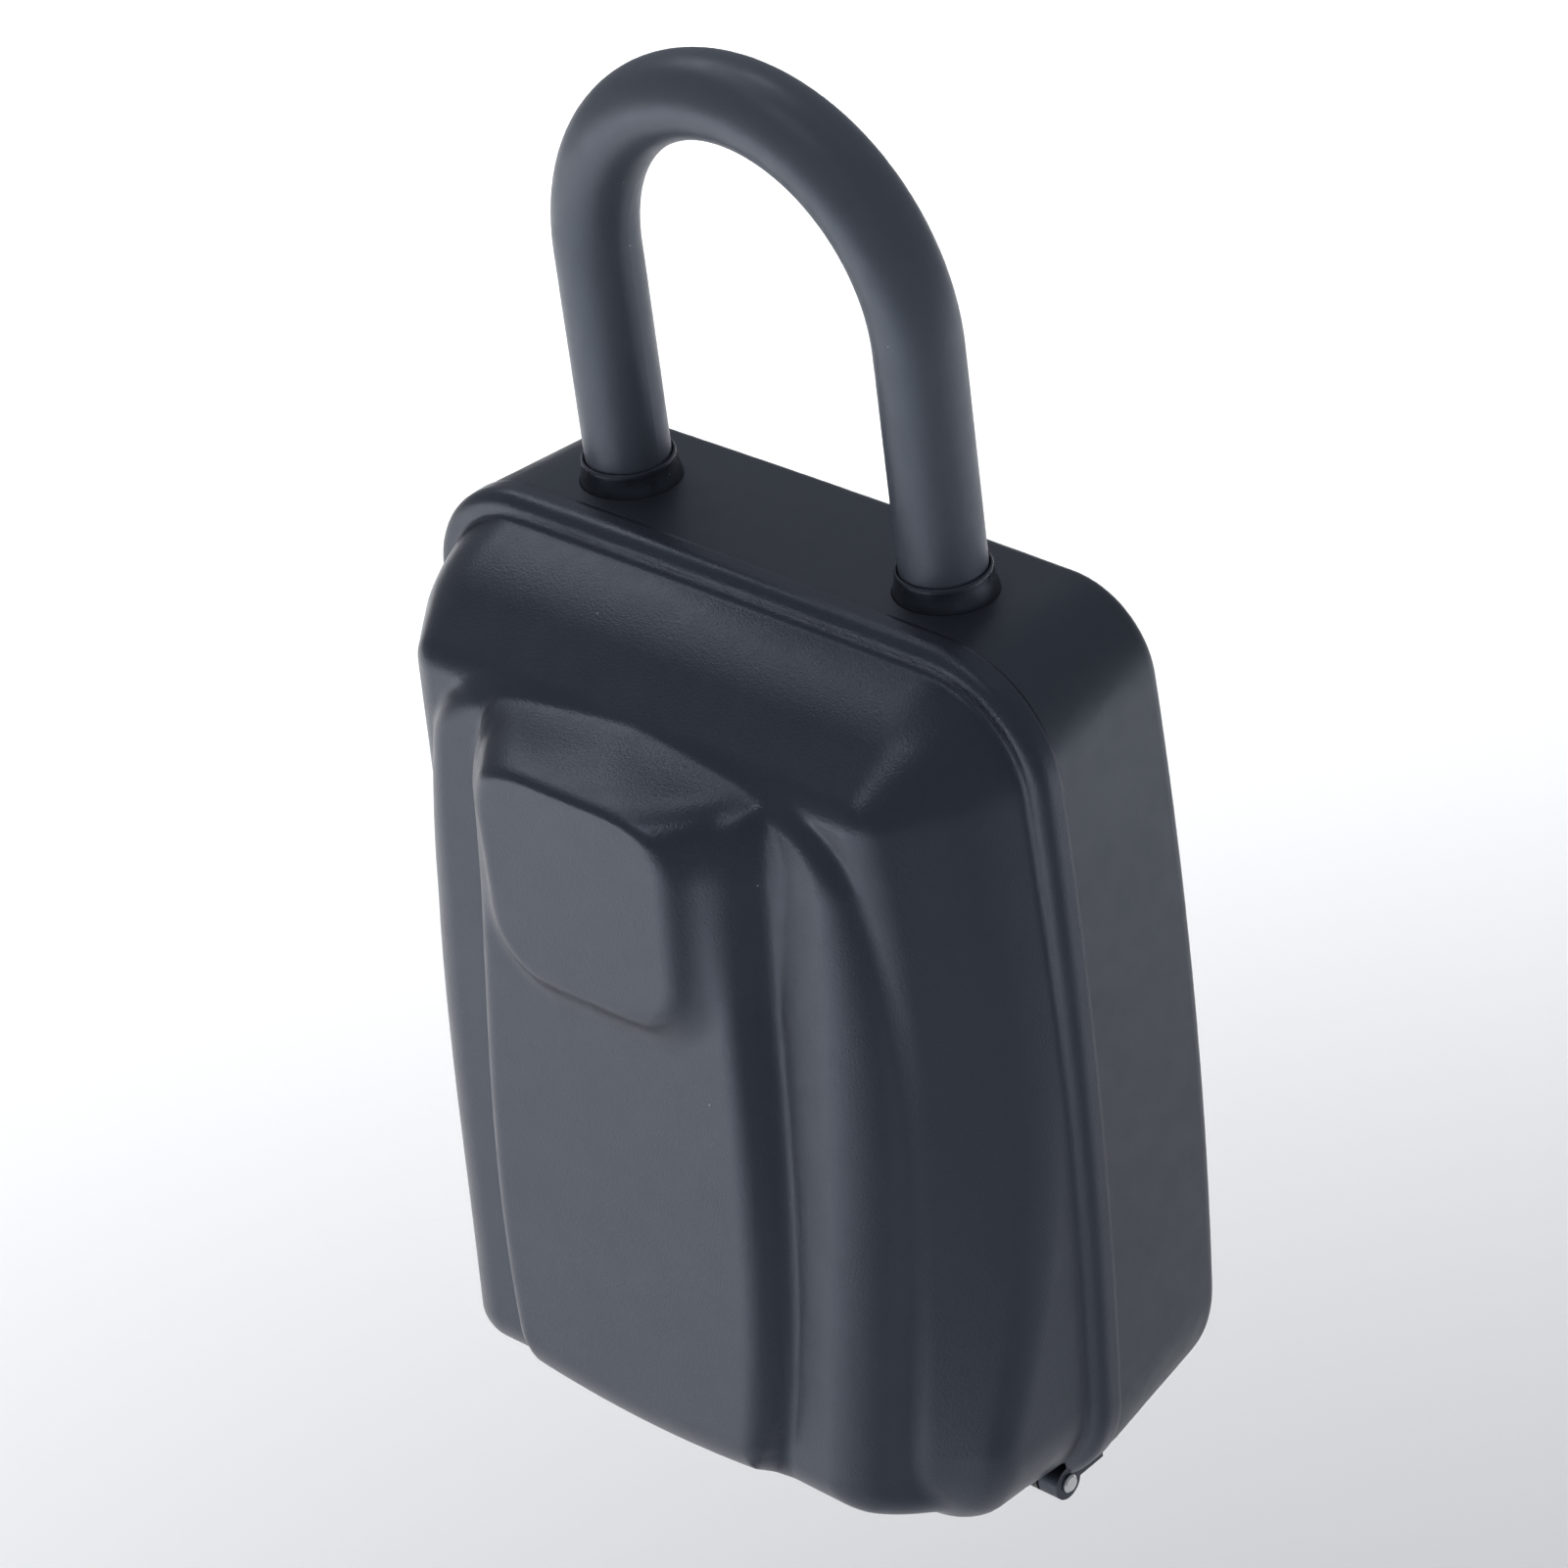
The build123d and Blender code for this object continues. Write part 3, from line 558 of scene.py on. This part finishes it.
def door_coat():
    """Satin paint on the cast door."""
    finish = Finish("door_coat", (0.022, 0.023, 0.026), 0.36)
    finish.vary_roughness(finish.noise(3, 3), 0.33, 0.45)
    finish.bump(finish.noise(0.8, 3.0), 0.03, 0.4)
    finish.dust(12.0, 0.14, 0.2)
    return finish.material


def vinyl():
    """Matte vinyl tube with a fine grain and a little dust."""
    finish = Finish("vinyl", (0.088, 0.098, 0.118), 0.4)
    finish.sheen()
    finish.vary_roughness(finish.noise(2.5, 4), 0.34, 0.44)
    finish.bump(finish.noise(0.3, 1.0), 0.03, 0.7)
    finish.dust(3.4, 0.24, 0.3)
    return finish.material


def collar_gum():
    """Smooth dark rubber of the two collars."""
    finish = Finish("collar_gum", (0.02, 0.023, 0.028), 0.28)
    finish.sheen()
    finish.vary_roughness(finish.noise(1.6, 3), 0.25, 0.34)
    finish.bump(finish.noise(1.2, 2.0), 0.02, 0.4)
    finish.dust(2.2, 0.2, 0.3)
    return finish.material


def foam_rubber():
    """Soft dull seal."""
    finish = Finish("foam_rubber", (0.022, 0.022, 0.024), 0.75)
    finish.bump(finish.noise(0.25, 3.0), 0.05, 0.6)
    return finish.material


def metal(name, color, low, high, grain=(1, 1, 1), depth=0.004):
    """Metal with fine lines, stretched by grain, and uneven polish."""
    finish = Finish(name, color, low, metallic=1.0)
    lines = finish.noise(0.12, 3.0, finish.stretched(grain))
    finish.vary_roughness(finish.noise(1.8, 4.0), low, high)
    finish.bump(lines, depth, 0.6)
    darker = tuple(0.6 * c for c in color)
    finish.tint(finish.spread(finish.noise(2.6, 5.0), 0.45, 0.75, 0, 0.5), darker)
    return finish.material


def dial_acetal():
    """Polished black plastic of the number wheels."""
    finish = Finish("dial_acetal", (0.02, 0.02, 0.022), 0.25)
    finish.vary_roughness(finish.noise(1.0, 4), 0.2, 0.38)
    finish.bump(finish.noise(0.5, 2.0), 0.006, 0.4)
    return finish.material


def dial_ink():
    """Slightly uneven white fill of the numbers."""
    finish = Finish("dial_ink", (0.82, 0.82, 0.78), 0.5)
    finish.tint(finish.spread(finish.noise(0.4, 4), 0.5, 0.8, 0, 0.5), (0.5, 0.5, 0.47))
    finish.bump(finish.noise(0.15, 2.0), 0.01, 0.4)
    return finish.material


def button_nylon():
    """Fine-grained nylon of the thumb button."""
    finish = Finish("button_nylon", (0.05, 0.05, 0.053), 0.5)
    finish.vary_roughness(finish.noise(1.5, 3), 0.42, 0.56)
    finish.bump(finish.noise(0.3, 2.0), 0.02, 0.5)
    return finish.material


def studio_floor():
    """Pale seamless floor."""
    finish = Finish("studio_floor", (0.93, 0.93, 0.93), 0.9)
    finish.tint(finish.spread(finish.noise(400, 2), 0.3, 0.7, 0, 0.3), (0.9, 0.9, 0.9))
    return finish.material


def dress_cad_nodes():
    """Give each CAD node that stays visible its finish."""
    by_slot = {
        "case_paint": case_coat(),
        "door_paint": door_coat(),
        "hard_steel": metal("hard_steel", (0.5, 0.5, 0.52), 0.2, 0.34, (1, 1, 0.06)),
        "sleeve_vinyl": vinyl(),
        "collar_rubber": collar_gum(),
        "plated_steel": metal("plated_steel", (0.6, 0.6, 0.58), 0.28, 0.42, (0.08, 1, 1)),
        "fastener_steel": metal("fastener_steel", (0.56, 0.56, 0.54), 0.25, 0.4),
        "pin_steel": metal("bright_pin", (0.78, 0.78, 0.78), 0.14, 0.26, (0.06, 1, 1)),
        "seal_rubber": foam_rubber(),
        "button_plastic": button_nylon(),
        "spring_steel": metal("spring_steel", (0.42, 0.42, 0.44), 0.25, 0.4),
        "dial_plastic": dial_acetal(),
        "cam_brass": metal("turned_brass", (0.75, 0.56, 0.25), 0.22, 0.36, (0.3, 1, 1)),
    }
    for part in frame["record"]["subparts"]:
        finish = by_slot.get(part["material_slot"])
        if finish is not None:
            mesh = frame["nodes"][part["node"]].data
            mesh.materials.clear()
            mesh.materials.append(finish)


# ---- weather cover: the piece ------------------------------------------------------
COLUMNS = 640                      # of the shell's mesh, round the cover
FAN_ROWS, FRONT_ROWS, INNER_ROWS = 54, 66, 30
MERGE = 0.002                      # points nearer than this become one
PIN_Y = -11.5
PIN_Z = -156.6
PIN_BORE_R = 1.3
KNUCKLE_R = 2.4
KNUCKLE_EDGE = 0.4
KNUCKLE_HALF = 19.6
HINGE_GAP_END = 42.5
HINGE_GAP_Y = (-14.35, -8)
HINGE_GAP_Z = (-165, -151.4)


def make_cover():
    """The moulded cover, with its hinge knuckle and the gaps for the door's knuckles."""
    points, faces = cover_shell(COLUMNS, FAN_ROWS, FRONT_ROWS, INNER_ROWS)
    cover = new_object("moulded_cover", mesh_from("moulded_cover", points, faces, MERGE))
    for side in (-1, 1):
        ends = sorted((side * KNUCKLE_HALF, side * HINGE_GAP_END))
        low, high = zip(ends, HINGE_GAP_Y, HINGE_GAP_Z)
        combine(cover, block("hinge_gap", low, high), "DIFFERENCE")
    profile = [
        (-KNUCKLE_HALF, KNUCKLE_R - KNUCKLE_EDGE),
        (-KNUCKLE_HALF + KNUCKLE_EDGE, KNUCKLE_R),
    ]
    profile += [(-x, r) for x, r in reversed(profile)]
    combine(cover, lathe_x("knuckle", profile, PIN_Y, PIN_Z), "UNION")
    bore_ends = [(-KNUCKLE_HALF - 1, PIN_BORE_R), (KNUCKLE_HALF + 1, PIN_BORE_R)]
    combine(cover, lathe_x("pin_bore", bore_ends, PIN_Y, PIN_Z), "DIFFERENCE")
    cover.data.materials.clear()
    cover.data.materials.append(moulded_rubber())
    cover.data.shade_smooth()
    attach(cover, "cover")
    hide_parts("weather_cover")


# ---- collars and numbers -----------------------------------------------------------
LEG_X = 26.15
COLLAR_TOP = -29.2
COLLAR_FOOT = -34.6
ROD_BORE = 4.35                    # radius round the rod, below the sleeve
SLEEVE_BORE = 5.62                 # radius round the sleeve
COLLAR_SECTION = (                 # radius, and drop from the top: up the bore, down the flare
    (ROD_BORE, 3.45),
    (SLEEVE_BORE, 3.4),
    (SLEEVE_BORE, 0.15),
    (5.7, 0.04),
    (5.82, 0.0),
    (5.95, 0.06),
    (6.02, 0.2),
    (6.04, 0.7),
    (6.1, 1.3),
    (6.24, 2.0),
    (6.42, 2.7),
    (6.54, 3.2),
    (6.6, 3.7),
)
DIALS = 4
DIAL_PITCH = 5.4
DIAL_Y = -32.0
DIAL_Z = -64.0
DIAL_R = 8.4
DIGIT_STEP = 36                    # degrees between two digits
DIGIT_SIZE = 3.672                 # the type's own size, for digits 2.7 high
DIGIT_RISE = 0.06


def make_collars():
    """Soft collars that flare from the sleeve to the case's top."""
    finish = collar_gum()
    profile = [(ROD_BORE, COLLAR_FOOT)]
    profile += [(radius, COLLAR_TOP - drop) for radius, drop in COLLAR_SECTION]
    profile.append((COLLAR_SECTION[-1][0], COLLAR_FOOT))
    for side, x in (("left", -LEG_X), ("right", LEG_X)):
        collar = lathe_z(f"flared_collar_{side}", profile, x, 0)
        collar.data.materials.append(finish)
        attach(collar, "case")
        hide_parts(f"shackle_collar_{side}")


def digit_mesh(digit):
    """Mesh of one raised digit, flat in XY, in millimetres."""
    curve = bpy.data.curves.new(f"digit_{digit}", "FONT")
    curve.body = str(digit)
    curve.size = DIGIT_SIZE
    curve.align_x = "CENTER"
    curve.align_y = "CENTER"
    curve.extrude = DIGIT_RISE
    curve.resolution_u = 3
    shape = new_object(f"digit_{digit}", curve)
    graph = bpy.context.evaluated_depsgraph_get()
    mesh = bpy.data.meshes.new_from_object(shape.evaluated_get(graph))
    bpy.data.objects.remove(shape)
    return mesh


def make_numbers():
    """The white digits 0 to 9 round each dial."""
    ink = dial_ink()
    flat = [digit_mesh(digit) for digit in range(10)]
    for dial in range(DIALS):
        centre_x = (dial - (DIALS - 1) / 2) * DIAL_PITCH
        points, faces = [], []
        for digit, mesh in enumerate(flat):
            first = len(points)
            for vert in mesh.vertices:
                angle = math.radians(DIGIT_STEP * digit) + vert.co.y / DIAL_R
                reach = DIAL_R + vert.co.z
                points.append((
                    centre_x + vert.co.x,
                    DIAL_Y - reach * math.cos(angle),
                    DIAL_Z + reach * math.sin(angle),
                ))
            faces += [[first + index for index in face.vertices] for face in mesh.polygons]
        name = f"dial_numbers_{dial + 1}"
        numbers = new_object(name, mesh_from(name, points, faces))
        numbers.data.shade_flat()
        numbers.data.materials.append(ink)
        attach(numbers, f"dial_{dial + 1}")


# ---- studio, in metres -------------------------------------------------------------
AZIMUTH = math.radians(46.278)
ELEVATION = math.radians(32.48)
ROLL = math.radians(7.659)
EYE = Vector((0.4335, -0.4205, 0.3154))
LENS, SENSOR = 130.38, 36.0        # millimetres
FLOOR_Z = -0.36
FLOOR_HALF = 6.0
LAMP_Z = 1.2
FLOOR_LAMPS = {                    # place in X and Y, size, watts and spread in degrees
    "floor_back": (-0.8, 0.8, 0.9, 9, 67),
    "floor_left": (-1.0, -0.5, 1.0, 5, 60),
    "floor_front": (-0.2, -0.95, 0.8, 6, 60),
    "floor_right": (0.75, 0.85, 0.8, 5, 60),
}
SURROUND = (0.85, 0.91, 1.0, 1)
SURROUND_STRENGTH = 0.28


def make_camera():
    """Camera at the viewing angle, turned a little about its own axis."""
    back = Vector((
        math.sin(AZIMUTH) * math.cos(ELEVATION),
        -math.cos(AZIMUTH) * math.cos(ELEVATION),
        math.sin(ELEVATION),
    ))
    right = Vector((math.cos(AZIMUTH), math.sin(AZIMUTH), 0))
    up = back.cross(right)
    turned_right = math.cos(ROLL) * right - math.sin(ROLL) * up
    turned_up = math.sin(ROLL) * right + math.cos(ROLL) * up
    camera = bpy.data.objects.new("camera", bpy.data.cameras.new("camera"))
    camera.data.lens = LENS
    camera.data.sensor_width = SENSOR
    camera.data.clip_start = 0.01
    axes = Matrix((turned_right, turned_up, back)).transposed()
    camera.matrix_world = Matrix.Translation(EYE) @ axes.to_4x4()
    bpy.context.scene.collection.objects.link(camera)
    bpy.context.scene.camera = camera


def soft_light(name, place, target, size, watts, spread=180):
    """Square soft light that faces a point; spread narrows its beam, in degrees."""
    light = bpy.data.lights.new(name, "AREA")
    light.size = size
    light.energy = watts
    light.spread = math.radians(spread)
    lamp = bpy.data.objects.new(name, light)
    aim = Vector(target) - Vector(place)
    turn = aim.to_track_quat("-Z", "Y").to_matrix().to_4x4()
    lamp.matrix_world = Matrix.Translation(place) @ turn
    bpy.context.scene.collection.objects.link(lamp)


def make_studio():
    """Pale floor well below the hanging box, soft lights and a dim surround."""
    floor_mesh = bpy.data.meshes.new("floor")
    signs = ((-1, -1), (1, -1), (1, 1), (-1, 1))
    corners = [(x * FLOOR_HALF, y * FLOOR_HALF, FLOOR_Z) for x, y in signs]
    floor_mesh.from_pydata(corners, [], [(0, 1, 2, 3)])
    floor_mesh.materials.append(studio_floor())
    new_object("floor", floor_mesh)
    for name, (x, y, size, watts, spread) in FLOOR_LAMPS.items():
        soft_light(name, (x, y, LAMP_Z), (x, y, 0), size, watts, spread)
    soft_light("upper_left", (-1.1, 0.25, 1.1), (0, 0, -0.07), 0.6, 1.7)
    world = bpy.data.worlds.new("surround")
    world.use_nodes = True
    background = world.node_tree.nodes["Background"]
    background.inputs["Color"].default_value = SURROUND
    background.inputs["Strength"].default_value = SURROUND_STRENGTH
    bpy.context.scene.world = world
    bpy.context.scene.view_settings.view_transform = "Standard"


make_camera()
make_studio()
dress_cad_nodes()
make_cover()
make_collars()
make_numbers()
